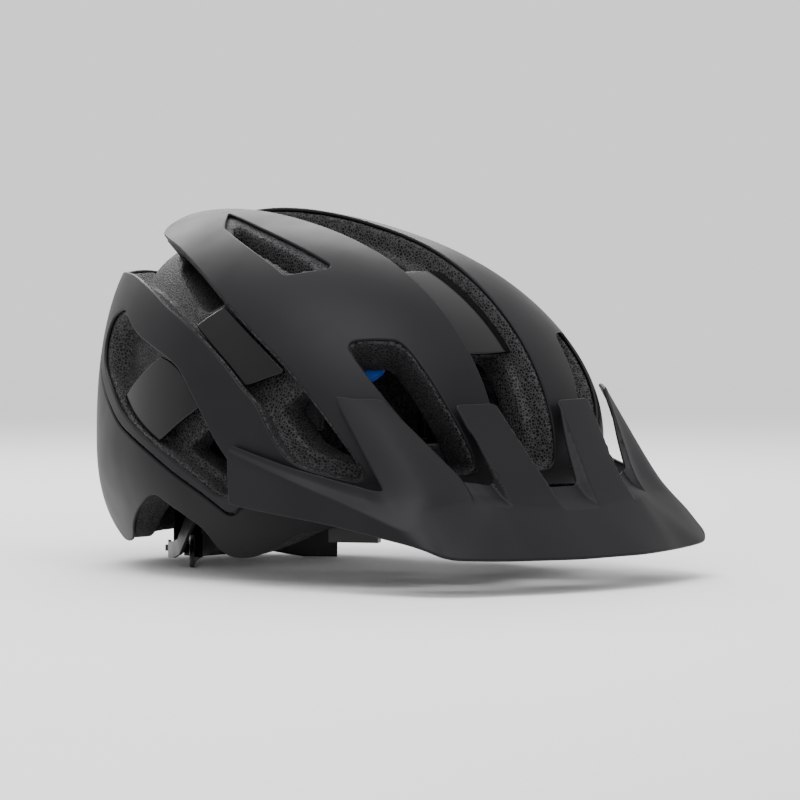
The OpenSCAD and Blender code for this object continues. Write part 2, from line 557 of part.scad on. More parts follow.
eps_liner();
upper_shell();
lower_shell();
centre_bridge();
side_bridge_left();
side_bridge_right();
rear_bridge_left();
rear_bridge_right();
visor();
visor_hub_left();
visor_hub_right();
pivot_pin_left();
pivot_pin_right();
pivot_socket_left();
pivot_socket_right();
brow_pad();
crown_pad_front();
crown_pad_rear();
side_pad_left();
side_pad_right();
shear_disc_front_left();
shear_disc_front_right();
shear_disc_side_left();
shear_disc_side_right();
shear_disc_rear_left();
shear_disc_rear_right();
front_anchor_left();
front_anchor_right();
rear_anchor_left();
rear_anchor_right();
front_strap_left();
front_strap_right();
rear_strap_left();
rear_strap_right();
strap_divider_left();
strap_divider_right();
chin_strap_left();
chin_strap_right();
buckle_body();
buckle_magnets();
buckle_tongue();
buckle_slider();
chin_pad();
cradle();
cradle_cover();
cradle_pads();
dial_knob();
dial_pinion();
band_left();
band_right();
rack_left();
rack_right();
temple_pin_left();
temple_pin_right();
yoke_straps();
height_pegs();
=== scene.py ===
import math

import bmesh
import bpy
import numpy as np
from mathutils import Matrix, Vector
from mathutils.geometry import delaunay_2d_cdt


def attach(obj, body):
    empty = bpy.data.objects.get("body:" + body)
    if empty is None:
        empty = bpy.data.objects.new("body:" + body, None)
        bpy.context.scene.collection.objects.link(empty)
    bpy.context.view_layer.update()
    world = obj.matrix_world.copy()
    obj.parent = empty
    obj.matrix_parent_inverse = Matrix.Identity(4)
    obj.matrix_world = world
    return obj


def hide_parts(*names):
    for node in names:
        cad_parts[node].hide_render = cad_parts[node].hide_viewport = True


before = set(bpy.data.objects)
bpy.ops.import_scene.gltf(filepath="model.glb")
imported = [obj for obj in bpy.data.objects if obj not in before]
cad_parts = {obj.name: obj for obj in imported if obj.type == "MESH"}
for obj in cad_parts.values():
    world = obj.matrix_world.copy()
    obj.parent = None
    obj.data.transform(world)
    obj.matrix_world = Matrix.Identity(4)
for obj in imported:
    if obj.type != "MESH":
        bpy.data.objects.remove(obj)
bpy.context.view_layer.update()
MM = 0.001
CENTRE_Y = 4.924  # shift that puts the origin under the middle of the box

# ---------------------------------------------------------------- master surface (millimetres)
HALF_W, MID_Y, FRONT_R, REAR_R = 107.0, 22.0, 127.0, 140.5
CROWN_H, WAIST_Z, SKIRT_H, LEAN = 108.0, 62.0, 80.0, 0.21
N_ROLL, N_PLAN, N_SIDE = 2.33, (2.7, 1.8), (1.85, 4.4)
BLUNT_Y, BLUNT_L = 133.0, 22.0
DEEP = 400.0  # skirt of the surface where it runs on below the rim
HUB = np.array([0.0, 10.0, 50.0])


def squeeze(y):
    return np.where(y < BLUNT_Y, y, BLUNT_Y + BLUNT_L * np.tanh((y - BLUNT_Y) / BLUNT_L))


def stretch(y):
    u = np.clip((y - BLUNT_Y) / BLUNT_L, 0, 0.9999)
    return np.where(y < BLUNT_Y, y, BLUNT_Y + BLUNT_L * np.arctanh(u))


def station(y, t):
    """Reach, plan exponent, side exponent and the sine of the station angle at y."""
    long_y = stretch(y + t) - t
    front = long_y < MID_Y
    reach = np.where(front, FRONT_R, REAR_R) - t
    plan = np.where(front, *N_PLAN)
    prof = np.where(front, *N_SIDE)
    c = (np.abs(long_y - MID_Y) / reach) ** (plan / 2)
    return plan, prof, c


def inside(p, t, skirt):
    x, y, z = p[:, 0], p[:, 1], p[:, 2]
    plan, prof, c = station(y, t)
    s = np.sqrt(np.clip(1 - c * c, 1e-12, 1))
    dz = z - WAIST_Z
    z0 = np.where(dz > 0, dz / (1 + LEAN * (y - MID_Y) / (CROWN_H - t)), dz)
    high = (np.where(dz > 0, CROWN_H, skirt) - t) * s ** (2 / prof)
    g = (np.abs(x) / ((HALF_W - t) * s ** (2 / plan))) ** N_ROLL
    g = g + (np.abs(z0) / high) ** N_ROLL
    return (g < 1) & (c < 1)


def chart_dirs(uv):
    r = np.hypot(uv[:, 0], uv[:, 1])
    k = np.sinc(r / np.pi)
    return np.column_stack([uv[:, 0] * k, uv[:, 1] * k, np.cos(r)])


def dome(uv, t=0.0, skirt=SKIRT_H):
    """Point of the master surface, pushed inwards by t, in the direction uv from the hub."""
    d = chart_dirs(np.asarray(uv, float))
    lo, hi = np.zeros(len(d)), np.full(len(d), 280.0)
    for _ in range(36):
        m = (lo + hi) / 2
        ins = inside(HUB + d * m[:, None], t, skirt)
        lo, hi = np.where(ins, m, lo), np.where(ins, hi, m)
    return HUB + d * lo[:, None]


def chart(p):
    d = np.asarray(p, float) - HUB
    d = d / np.linalg.norm(d, axis=1)[:, None]
    r = np.arccos(np.clip(d[:, 2], -1, 1))
    k = r / np.maximum(np.hypot(d[:, 0], d[:, 1]), 1e-9)
    return np.column_stack([d[:, 0] * k, d[:, 1] * k])


def side(y, z):
    plan, prof, c = (float(v) for v in station(np.array(float(y)), 0.0))
    s = math.sqrt(max(1e-9, 1 - c * c))
    dz = z - WAIST_Z
    z0 = dz / (1 + LEAN * (y - MID_Y) / CROWN_H) if dz > 0 else dz
    high = (CROWN_H if dz > 0 else SKIRT_H) * s ** (2 / prof)
    cr = min(1.0, (abs(z0) / high) ** (N_ROLL / 2))
    return (HALF_W * s ** (2 / plan) * (1 - cr * cr) ** (1 / N_ROLL), y, z)


def top(x, y):
    plan, prof, c = (float(v) for v in station(np.array(float(y)), 0.0))
    s = math.sqrt(max(1e-9, 1 - c * c))
    w = min(1.0, abs(x) / (HALF_W * s ** (2 / plan)))
    z0 = CROWN_H * s ** (2 / prof) * (1 - w**N_ROLL) ** (1 / N_ROLL)
    return (x, y, WAIST_Z + z0 * (1 + LEAN * (y - MID_Y) / CROWN_H))


def end(x, z, rear=False):
    lo, hi = (MID_Y, 152.1) if rear else (MID_Y, -104.9)
    for _ in range(40):
        m = (lo + hi) / 2
        lo, hi = (m, hi) if side(m, z)[0] > abs(x) else (lo, m)
    return (x, lo, z)


# ---------------------------------------------------------------- outlines
def spline(pts, step=1.0):
    p = np.asarray(pts, float)
    if len(p) < 3:
        n = max(2, int(np.linalg.norm(p[-1] - p[0]) / step))
        return p[0] + (p[-1] - p[0]) * (np.arange(n) / n)[:, None]
    q = np.vstack([2 * p[0] - p[1], p, 2 * p[-1] - p[-2]])
    out = []
    for i in range(1, len(q) - 2):
        a, b, c, d = q[i - 1 : i + 3]
        n = max(2, int(np.linalg.norm(c - b) / step))
        f = (np.arange(n) / n)[:, None]
        lab, lbc, lcd = (np.linalg.norm(v) ** 0.5 + 1e-6 for v in (b - a, c - b, d - c))
        m1 = (c - b) + lbc * ((b - a) / lab - (c - a) / (lab + lbc))
        m2 = (c - b) + lbc * ((d - c) / lcd - (d - b) / (lbc + lcd))
        h = 2 * (b - c) + m1 + m2
        out.append(b + m1 * f + (-3 * b + 3 * c - 2 * m1 - m2) * f**2 + h * f**3)
    return np.vstack(out)


def resample(p, step):
    q = np.vstack([p, p[:1]])
    s = np.concatenate([[0], np.cumsum(np.linalg.norm(np.diff(q, axis=0), axis=1))])
    n = max(12, int(s[-1] / step))
    w = np.arange(n) * s[-1] / n
    return np.column_stack([np.interp(w, s, q[:, k]) for k in range(q.shape[1])])


def soften(p, sigma, step):
    """Rounds the corners of a closed outline."""
    n = max(1, int(3 * sigma / step))
    k = np.exp(-0.5 * (np.arange(-n, n + 1) * step / sigma) ** 2)
    k = k / k.sum()
    w = np.vstack([p[-n:], p, p[:n]])
    return np.column_stack([np.convolve(w[:, c], k, "valid") for c in range(p.shape[1])])


def outline(*runs, sigma=1.6, step=1.1):
    p = np.vstack([spline(r) for r in runs])
    return soften(resample(p, step), sigma, step)


def flip(p):
    return np.asarray(p, float)[::-1] * [-1, 1, 1]


def symmetric(*runs, **kw):
    """Closed outline from runs on the left that begin and end on the middle plane."""
    return outline(*runs, *[flip(r) for r in reversed(runs)], **kw)


def area(uv):
    x, y = uv[:, 0], uv[:, 1]
    return 0.5 * np.sum(x * np.roll(y, -1) - np.roll(x, -1) * y)


def within(pts, loops):
    odd = np.zeros(len(pts), bool)
    for lp in loops:
        x0, y0 = lp[:, 0], lp[:, 1]
        x1, y1 = np.roll(x0, -1), np.roll(y0, -1)
        for i in range(0, len(pts), 4000):
            px, py = pts[i : i + 4000, 0, None], pts[i : i + 4000, 1, None]
            hit = ((y0 > py) != (y1 > py)) & (
                px < (x1 - x0) * (py - y0) / (y1 - y0 + 1e-15) + x0
            )
            odd[i : i + 4000] ^= (hit.sum(1) % 2).astype(bool)
    return odd


def clear_of(pts, loops, gap):
    keep = np.ones(len(pts), bool)
    every = np.vstack(loops)
    for i in range(0, len(pts), 2000):
        d = pts[i : i + 2000, None, :] - every[None, :, :]
        keep[i : i + 2000] = (d * d).sum(2).min(1) > gap * gap
    return keep


# ---------------------------------------------------------------- meshes
def make(name, verts, faces, body, material, normals=None, smooth=True, stands=(), slot=None):
    me = bpy.data.meshes.new(name)
    verts = np.asarray(verts, float) + [0, CENTRE_Y if body else 0, 0]
    me.from_pydata((verts * MM).tolist(), [], [list(map(int, f)) for f in faces])
    me.update()
    me.shade_smooth() if smooth else me.shade_flat()
    if normals is not None:
        me.normals_split_custom_set_from_vertices(np.asarray(normals).tolist())
    ob = bpy.data.objects.new(name, me)
    bpy.context.scene.collection.objects.link(ob)
    if material is not None:
        me.materials.append(material)
    if body:
        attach(ob, body)
    if stands:
        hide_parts(*stands)
    return ob


def frames(geo, uv, e):
    p = geo(uv)
    du = (geo(uv + [e, 0]) - geo(uv - [e, 0])) / (2 * e)
    dv = (geo(uv + [0, e]) - geo(uv - [0, e])) / (2 * e)
    n = np.cross(du, dv)
    n = n / np.maximum(np.linalg.norm(n, axis=1)[:, None], 1e-12)
    return p, n, du, dv


def panel(name, geo, loops, body, material, spacing, thick=1.8, eps=1e-3, **kw):
    """Moulded sheet of even thickness over the region inside loops[0] and outside the others,
    with rounded edges all round."""
    r = thick / 2
    rim = []
    for i, lp in enumerate(loops):
        if (area(lp) > 0) == (i > 0):
            lp = lp[::-1]
        p, n, du, dv = frames(geo, lp, eps)
        t = np.roll(p, -1, axis=0) - np.roll(p, 1, axis=0)
        t = t / np.maximum(np.linalg.norm(t, axis=1)[:, None], 1e-9)
        o = np.cross(t, n)
        a, b, c = (du * du).sum(1), (du * dv).sum(1), (dv * dv).sum(1)
        e, f = (du * o).sum(1), (dv * o).sum(1)
        det = a * c - b * b
        shift = np.column_stack([(c * e - b * f) / det, (a * f - b * e) / det])
        rim.append(lp - r * shift)
    allp = np.vstack(rim)
    lo, hi = allp.min(0), allp.max(0)
    du, dv = spacing
    gx = np.arange(lo[0] + du / 2, hi[0], du)
    gy = np.arange(lo[1] + dv / 2, hi[1], dv)
    grid = np.array([(x + (j % 2) * du / 2, y) for j, y in enumerate(gy) for x in gx])
    grid = grid[within(grid, rim)]
    scale = np.array([1 / du, 1 / dv])
    grid = grid[clear_of(grid * scale, [q * scale for q in rim], 0.55)]
    pts = np.vstack([*rim, grid])
    edges, start = [], 0
    for q in rim:
        m = len(q)
        edges += [(start + k, start + (k + 1) % m) for k in range(m)]
        start += m
    out = delaunay_2d_cdt([Vector(q) for q in (pts * scale).tolist()], edges, [], 0, 1e-6)
    v2 = np.array([tuple(q) for q in out[0]]) / scale
    where = {}
    for k, orig in enumerate(out[3]):
        for o in orig:
            where[o] = k
    tri = np.array([f for f in out[2] if len(f) == 3])
    tri = tri[within(v2[tri].mean(1), rim)]
    p, n, _, _ = frames(geo, v2, eps)
    m = len(p)
    verts, norms = [p, p - n * thick], [n, -n]
    faces = [tuple(f) for f in tri] + [(a + m, c + m, b + m) for a, b, c in tri]
    base, at = 2 * m, 0
    steps = 5
    for q in rim:
        k = len(q)
        idx = np.array([where[at + i] for i in range(k)])
        at += k
        pp, nn = p[idx], n[idx]
        t = np.roll(pp, -1, axis=0) - np.roll(pp, 1, axis=0)
        t = t / np.maximum(np.linalg.norm(t, axis=1)[:, None], 1e-9)
        o = np.cross(t, nn)
        o = o / np.maximum(np.linalg.norm(o, axis=1)[:, None], 1e-9)
        rows = [idx]
        for s in range(1, steps):
            ang = math.pi * s / steps
            verts.append(pp + o * r * math.sin(ang) - nn * r * (1 - math.cos(ang)))
            norms.append(o * math.sin(ang) + nn * math.cos(ang))
            rows.append(base + np.arange(k))
            base += k
        rows.append(idx + m)
        for a, b in zip(rows, rows[1:]):
            faces += [(a[i], b[i], b[(i + 1) % k], a[(i + 1) % k]) for i in range(k)]
    return make(name, np.vstack(verts), faces, body, material, np.vstack(norms), **kw)


def evaluated(ob, name):
    dg = bpy.context.evaluated_depsgraph_get()
    me = bpy.data.meshes.new_from_object(ob.evaluated_get(dg), depsgraph=dg)
    me.name = name
    return me


def raw(verts, faces, name="tool"):
    return make(name, verts, faces, None, None, smooth=False)


def drop(*obs):
    for o in obs:
        bpy.data.objects.remove(o)


def boolean(ob, tool, kind):
    m = ob.modifiers.new("b", "BOOLEAN")
    m.object, m.operation, m.solver = tool, kind, "MANIFOLD"
    me = evaluated(ob, "made")
    ob.modifiers.clear()
    ob.data = me


def carve(ob, *tools, keep=None):
    for t in tools:
        if keep is not None:
            boolean(t, keep, "DIFFERENCE")
        boolean(ob, t, "DIFFERENCE")
        drop(t)
    return ob


def cast(name, ob, voxel, rounds, body, material, **kw):
    """The solid as one moulded skin with soft edges."""
    m = ob.modifiers.new("r", "REMESH")
    m.mode, m.voxel_size, m.use_smooth_shade = "VOXEL", voxel * MM, True
    s = ob.modifiers.new("s", "SMOOTH")
    s.factor, s.iterations = 0.5, rounds
    me = evaluated(ob, name)
    drop(ob)
    me.transform(Matrix.Translation((0, CENTRE_Y * MM, 0)))
    out = bpy.data.objects.new(name, me)
    bpy.context.scene.collection.objects.link(out)
    me.shade_smooth()
    me.materials.clear()
    me.materials.append(material)
    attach(out, body)
    if kw.get("stands"):
        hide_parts(*kw["stands"])
    return out


def outward(ob, triangles=False):
    """Faces turned outwards, and cut into triangles where a boolean needs them."""
    bm = bmesh.new()
    bm.from_mesh(ob.data)
    if triangles:
        bmesh.ops.triangulate(bm, faces=bm.faces[:])
    bmesh.ops.recalc_face_normals(bm, faces=bm.faces[:])
    bm.to_mesh(ob.data)
    bm.free()
    return ob


def prism(a, b, name="tool"):
    """Closed solid between two outlines of equal length."""
    a, b = np.asarray(a, float), np.asarray(b, float)
    n = len(a)
    i = np.arange(n)
    faces = [tuple(i[::-1]), tuple(i + n)]
    faces += [(k, (k + 1) % n, n + (k + 1) % n, n + k) for k in range(n)]
    ob = raw(np.vstack([a, b]), faces, name)
    return outward(ob, triangles=True)


def ray_prism(p, near=0.55, far=1.3):
    return prism(HUB + near * (p - HUB), HUB + far * (p - HUB))


def slab(outline2, axis, lo, hi):
    """Prism of a flat outline along axis 0, 1 or 2; the outline gives the other two, in order."""
    o = np.asarray(outline2, float)
    return prism(np.insert(o, axis, lo, axis=1), np.insert(o, axis, hi, axis=1))


def block(x0, x1, y0, y1, z0, z1):
    return slab([(x0, y0), (x1, y0), (x1, y1), (x0, y1)], 2, z0, z1)


def circle(cx, cy, r, n=48, phase=0.0, ry=None):
    a = np.arange(n) * 2 * math.pi / n + phase
    return np.column_stack([cx + r * np.cos(a), cy + (ry or r) * np.sin(a)])


def rounded(pts, r=2.0, step=0.6):
    p = np.vstack([spline(np.array([a, b], float), step) for a, b in zip(pts, pts[1:] + pts[:1])])
    return soften(resample(p, step), r * 0.6, step)


def dome_mesh(t, skirt, n=96):
    """Closed mesh of the master surface pushed inwards by t."""
    rolls = np.arange(n) * 2 * math.pi / n
    stas = np.linspace(0, math.pi, n // 2 + 1)[1:-1]
    sg = lambda v, e: np.sign(v) * np.abs(v) ** e
    rows = []
    for a in stas:
        c, s = math.cos(a), math.sin(a)
        front = c > 0
        reach = (FRONT_R if front else REAR_R) - t
        y = float(squeeze(np.array(MID_Y - reach * sg(c, 2 / N_PLAN[0 if front else 1]) + t))) - t
        x = (HALF_W - t) * s ** (2 / N_PLAN[0 if front else 1]) * sg(np.sin(rolls), 2 / N_ROLL)
        h = np.where(np.cos(rolls) > 0, CROWN_H, skirt) - t
        z0 = h * s ** (2 / N_SIDE[0 if front else 1]) * sg(np.cos(rolls), 2 / N_ROLL)
        z = WAIST_Z + z0 + LEAN * (y - MID_Y) * np.clip(z0 / (CROWN_H - t), 0, 1)
        rows.append(np.column_stack([x, np.full(n, y), z]))
    back = float(squeeze(np.array(MID_Y + REAR_R)))
    v = np.vstack([[[0, MID_Y - FRONT_R + t, WAIST_Z]], *rows, [[0, back - t, WAIST_Z]]])
    f = [(0, 1 + (j + 1) % n, 1 + j) for j in range(n)]
    for i in range(len(rows) - 1):
        a, b = 1 + i * n, 1 + (i + 1) * n
        f += [(a + j, a + (j + 1) % n, b + (j + 1) % n, b + j) for j in range(n)]
    a = 1 + (len(rows) - 1) * n
    f += [(len(v) - 1, a + j, a + (j + 1) % n) for j in range(n)]
    ob = raw(v, f, "dome")
    return ob


# ---------------------------------------------------------------- materials
def material(name, base, rough, bead_edge_highlight=0.0, cell=2.0, bump=0.1, coat=0.0, spec=0.5, weave=0.0,
             metal=0.0, tint=None, sheen=0.0):
    mat = bpy.data.materials.new(name)
    mat.use_nodes = True
    nt = mat.node_tree
    bsdf = nt.nodes["Principled BSDF"]
    link = nt.links.new
    co = nt.nodes.new("ShaderNodeTexCoord")
    fine = nt.nodes.new("ShaderNodeTexNoise")
    fine.inputs["Scale"].default_value = 900.0
    fine.inputs["Detail"].default_value = 4.0
    link(co.outputs["Object"], fine.inputs["Vector"])
    broad = nt.nodes.new("ShaderNodeTexNoise")
    broad.inputs["Scale"].default_value = 22.0
    broad.inputs["Detail"].default_value = 3.0
    link(co.outputs["Object"], broad.inputs["Vector"])
    ramp = nt.nodes.new("ShaderNodeMapRange")
    ramp.inputs["From Min"].default_value = 0.3
    ramp.inputs["From Max"].default_value = 0.7
    ramp.inputs["To Min"].default_value = max(0.02, rough * 0.86)
    ramp.inputs["To Max"].default_value = min(1.0, rough * 1.14)
    link(broad.outputs["Fac"], ramp.inputs["Value"])
    link(ramp.outputs["Result"], bsdf.inputs["Roughness"])
    mix = nt.nodes.new("ShaderNodeMix")
    mix.data_type = "RGBA"
    second = tint or [min(1.0, c * 1.5 + 0.004) for c in base]
    mix.inputs["A"].default_value = (*base, 1)
    mix.inputs["B"].default_value = (*second, 1)
    link(mix.outputs["Result"], bsdf.inputs["Base Color"])
    bp = nt.nodes.new("ShaderNodeBump")
    bp.inputs["Strength"].default_value = bump
    bp.inputs["Distance"].default_value = 0.0004
    link(bp.outputs["Normal"], bsdf.inputs["Normal"])
    # Foam beads: the bead pattern and its bump are the foam's own texture, but the lighter bead edges,
    # mixed towards the second colour, are a painted highlight where light would catch the bead relief.
    if bead_edge_highlight:
        vor = nt.nodes.new("ShaderNodeTexVoronoi")
        vor.feature = "DISTANCE_TO_EDGE"
        vor.inputs["Scale"].default_value = 1000.0 / cell
        link(co.outputs["Object"], vor.inputs["Vector"])
        edge = nt.nodes.new("ShaderNodeMapRange")
        edge.inputs["From Min"].default_value = 0.0
        edge.inputs["From Max"].default_value = 0.22
        edge.inputs["To Min"].default_value = 1.0
        edge.inputs["To Max"].default_value = 0.0
        link(vor.outputs["Distance"], edge.inputs["Value"])
        tone = nt.nodes.new("ShaderNodeTexVoronoi")
        tone.inputs["Scale"].default_value = 1000.0 / cell
        link(co.outputs["Object"], tone.inputs["Vector"])
        both = nt.nodes.new("ShaderNodeMath")
        both.operation = "MULTIPLY"
        link(edge.outputs["Result"], both.inputs[0])
        both.inputs[1].default_value = bead_edge_highlight
        link(both.outputs["Value"], mix.inputs["Factor"])
        inv = nt.nodes.new("ShaderNodeMath")
        inv.operation = "SUBTRACT"
        inv.inputs[0].default_value = 1.0
        link(edge.outputs["Result"], inv.inputs[1])
        link(inv.outputs["Value"], bp.inputs["Height"])
    elif weave:
        waves = []
        for axis in ("X", "Z"):
            w = nt.nodes.new("ShaderNodeTexWave")
            w.bands_direction = axis
            w.inputs["Scale"].default_value = 1000.0 / weave / 6.283
            w.inputs["Distortion"].default_value = 0.4
            link(co.outputs["Object"], w.inputs["Vector"])
            waves.append(w)
        mul = nt.nodes.new("ShaderNodeMath")
        mul.operation = "MAXIMUM"
        link(waves[0].outputs["Fac"], mul.inputs[0])
        link(waves[1].outputs["Fac"], mul.inputs[1])
        link(mul.outputs["Value"], bp.inputs["Height"])
        link(mul.outputs["Value"], mix.inputs["Factor"])
    else:
        link(fine.outputs["Fac"], bp.inputs["Height"])
        link(broad.outputs["Fac"], mix.inputs["Factor"])
    bsdf.inputs["Specular IOR Level"].default_value = spec
    bsdf.inputs["Metallic"].default_value = metal
    bsdf.inputs["Coat Weight"].default_value = coat
    bsdf.inputs["Coat Roughness"].default_value = 0.06
    bsdf.inputs["Sheen Weight"].default_value = sheen
    return mat


SKIN = material("satin_shell", (0.0036, 0.0037, 0.0044), 0.48, bump=0.06, spec=0.13)
SKIN_LOW = material("satin_wrap", (0.0022, 0.0023, 0.0028), 0.44, bump=0.06, spec=0.11)
VISOR = material("satin_visor", (0.0036, 0.0037, 0.0044), 0.5, bump=0.1, spec=0.13)
GLOSS = material("gloss_plate", (0.001, 0.001, 0.0012), 0.12, bump=0.02, coat=0.12, spec=0.14)
# The foam's tint is the colour of the painted highlight on its bead edges.
FOAM = material("bead_foam", (0.0022, 0.0022, 0.0024), 0.6, bead_edge_highlight=0.8, cell=1.5, bump=0.6,
                spec=0.14, tint=(0.06, 0.06, 0.062))
PAD = material("pad_knit", (0.006, 0.006, 0.007), 0.9, weave=1.1, bump=0.7, sheen=0.15,
               spec=0.15)
WEB = material("webbing", (0.004, 0.004, 0.0045), 0.75, weave=1.3, bump=0.9, spec=0.2,
               tint=(0.014, 0.014, 0.015))
HARD = material("moulded_black", (0.003, 0.003, 0.0034), 0.38, bump=0.12, spec=0.25)
BLUE = material("shear_blue", (0.004, 0.055, 0.32), 0.3, bump=0.1, spec=0.5)
STEEL = material("pin_steel", (0.55, 0.55, 0.56), 0.28, bump=0.05, metal=1.0)
GEAR = material("gear_nylon", (0.5, 0.5, 0.47), 0.45, bump=0.05)

for node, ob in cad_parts.items():
    ob.data.materials.clear()
    if "disc" in node:
        ob.data.materials.append(BLUE)
    elif "pin_" in node or "magnet" in node:
        ob.data.materials.append(STEEL)
    elif node == "dial_pinion":
        ob.data.materials.append(GEAR)
    else:
        ob.data.materials.append(HARD)

# ---------------------------------------------------------------- outlines on the surface
S = lambda pts: [side(*p) for p in pts]
T = lambda pts: [top(*p) for p in pts]
CH_F = 19.6
LOBE_END, DECK_Z = 106.0, 143.0

groove = [end(0, 109.5, True), end(28, 108.8, True)] + S(
    [(129, 105), (106, 90), (90, 80), (76, 72), (60, 66), (45, 60), (26, 51), (10, 43), (0, 37)]
) + S([(-5, 33.6), (-10, 33.6), (-18, 38), (-45, 39), (-70, 40.5), (-90, 43)]) + [
    end(40, 45), end(0, 46)]
rim = [end(0, 16, True), end(30, 15.5, True)] + S(
    [(133, 14), (119, 12), (96, 13), (85, 17), (74, 25), (59, 34), (45, 39.5), (32, 34)]
) + S([(22, 29), (14, 23), (11, 15), (6, 11), (-7, 11), (-15, 13), (-29, 18), (-42, 24)]) + S(
    [(-52, 26), (-72, 32), (-88, 36.5)]) + [end(40, 41), end(0, 42)]

channel_front = [end(0, 53), end(CH_F - 3, 53)]
channel_up = [end(CH_F, 56), end(CH_F, 80), end(CH_F, 100), top(CH_F, -70), top(CH_F, -40)] + T(
    [(CH_F, -15), (18.6, 20), (17.4, 60), (16.8, LOBE_END)])
lobe_back = [top(16.8, LOBE_END), top(30, LOBE_END), (side(LOBE_END, 166))]
lobe_low = S([(LOBE_END, 166), (100, 163), (67, 156), (41, 147), (16, 135), (-10, 121),
              (-37, 104), (-61, 81), (-71, 67), (-77, 56)])
nose = S([(-77, 56), (-77.5, 53), (-76, 51), (-72, 51)])
strut_up = S([(-72, 51), (-61, 54), (-51, 57), (-44, 61), (-37, 69), (-25, 86), (-16, 93),
              (-3, 103), (13, 113), (33, 123), (54, 131), (74, 138), (100, 143.5), (112, 144)])
deck = [side(112, 144), end(34, DECK_Z, True), end(0, DECK_Z - 1, True)]

rear_vent = outline(S([(94, 127), (109, 121), (114, 110), (109, 101), (92, 90), (76, 79),
                       (60, 71), (43, 64), (25, 56), (10, 48), (0, 42), (-6, 41), (-12, 44),
                       (-14, 49), (-11, 57), (-3, 66), (4, 75), (16, 89), (27, 100), (39, 106),
                       (51, 110), (73, 117), (94, 127)]))
crown_vent = outline(
    T([(47, 54), (29, 70)]), T([(29, 70), (41, 36), (47, 3), (49, -22)]),
    T([(49, -22), (52, -23), (63, -14)]), T([(63, -14), (67, -9), (66, -4)]),
    T([(66, -4), (56, 33), (47, 54)]))
F = lambda pts: [end(*p) for p in pts]
front_vent = outline(
    F([(71, 116), (63, 116.5), (54, 116)]), F([(54, 116), (52, 113), (49, 101), (45, 86),
                                               (38, 69), (31, 54)]),
    F([(31, 54), (42, 53), (56, 65), (68, 82), (73, 95), (75, 106), (75, 111)]),
    F([(75, 111), (74, 114), (71, 116)]))
both = lambda p: [p, flip(p)]
big_hole = symmetric(channel_front, channel_up, lobe_back, lobe_low, nose, strut_up, deck)
outer = symmetric(groove)
GRID = 0.02
holes = [big_hole, *both(rear_vent), *both(crown_vent), *both(front_vent)]

panel("shell_upper", dome, [chart(q) for q in [outer, *holes]], "helmet", SKIN,
      (GRID, GRID), stands=["upper_shell"], slot="skin")


def ring_between(name, hi, lo, body, mat, **kw):
    """Band of the master surface between two outlines that run round the helmet."""
    return panel(name, dome, [chart(lo), chart(hi)], body, mat, (GRID, GRID), **kw)


low_edge = np.array(groove) - [0, 0, 1.3]
ring_between("shell_lower", symmetric(low_edge), symmetric(rim), "helmet", SKIN_LOW,
             stands=["lower_shell"], slot="skin")

# ---------------------------------------------------------------- foam liner
N = 128
foam = dome_mesh(2.0, SKIRT_H, N)
carve(foam, dome_mesh(27.0, DEEP, N))
under = symmetric(np.array(rim) + [0, 0, 1.8])
skirt = [(q[0], q[1], -60.0) for q in HUB + 1.35 * (under - HUB)]
line = [(q[1], q[2]) for q in spline(np.array(rim) + [0, 0, 1.8])]
line = [(175, line[0][1])] + [q for q in line if -88 < q[0] < 133] + [(-130, 43.8)]
carve(foam, slab(line + [(-130, -80), (175, -80)], 0, -150, 150))
core = dome_mesh(13.0, SKIRT_H, N)


def shrink(p, gap):
    """Outline moved into its own opening by gap."""
    c = chart(p)
    if area(c) < 0:
        p, c = p[::-1], c[::-1]
    q, n, _, _ = frames(dome, c, 1e-3)
    t = np.roll(q, -1, axis=0) - np.roll(q, 1, axis=0)
    t = t / np.maximum(np.linalg.norm(t, axis=1)[:, None], 1e-9)
    return q - np.cross(t, n) * gap


for p in [big_hole, *both(rear_vent), *both(crown_vent)]:
    carve(foam, ray_prism(shrink(p, 0.6), 0.6, 1.35), keep=core)
drop(core)
window_side = [(-28, 83), (-43, 94), (-59, 77), (-69, 64), (-73, 56), (-61, 59), (-50, 62),
               (-42, 67), (-35, 75)]
cell_side = [(36, 126), (24, 133), (46, 143), (68, 151), (88, 153), (80, 145), (58, 136)]
window_rear = [(30, 62), (8, 77), (-7, 58), (-8, 50), (-3, 47), (12, 54)]
for pts in (window_side, cell_side, window_rear):
    o = rounded([tuple(q) for q in pts], 3.0)
    carve(foam, slab(o, 0, 30, 140), slab(o, 0, -140, -30))
crown_hole = rounded([(50, 44), (37, 58), (46, 32), (51, 0), (53, -16), (62, -9), (56, 28)], 3.0)
carve(foam, slab(crown_hole, 2, 95, 220), slab(crown_hole * [-1, 1], 2, 95, 220))
for p in both(shrink(front_vent, 0.8)):
    carve(foam, ray_prism(p, 0.5, 1.3))
carve(foam, slab(rounded([(-14, 60), (14, 60), (14, 106), (-14, 106)], 4), 1, -140, -60))
for y0, y1 in ((-24, 22), (46, 86)):
    carve(foam, slab(rounded([(-12, y0), (12, y0), (12, y1), (-12, y1)], 4), 2, 110, 200))
cast("foam_liner", foam, 1.35, 3, "helmet", FOAM, stands=["eps_liner"],
     slot="foam")

# ---------------------------------------------------------------- glossy bridges
def plate(name, out, depth, node, thick=1.8):
    geo = lambda uv: dome(uv, depth)
    return panel(name, geo, [chart(out)], "helmet", GLOSS, (GRID / 2, GRID / 2), thick=thick,
                 stands=[node], slot="gloss")


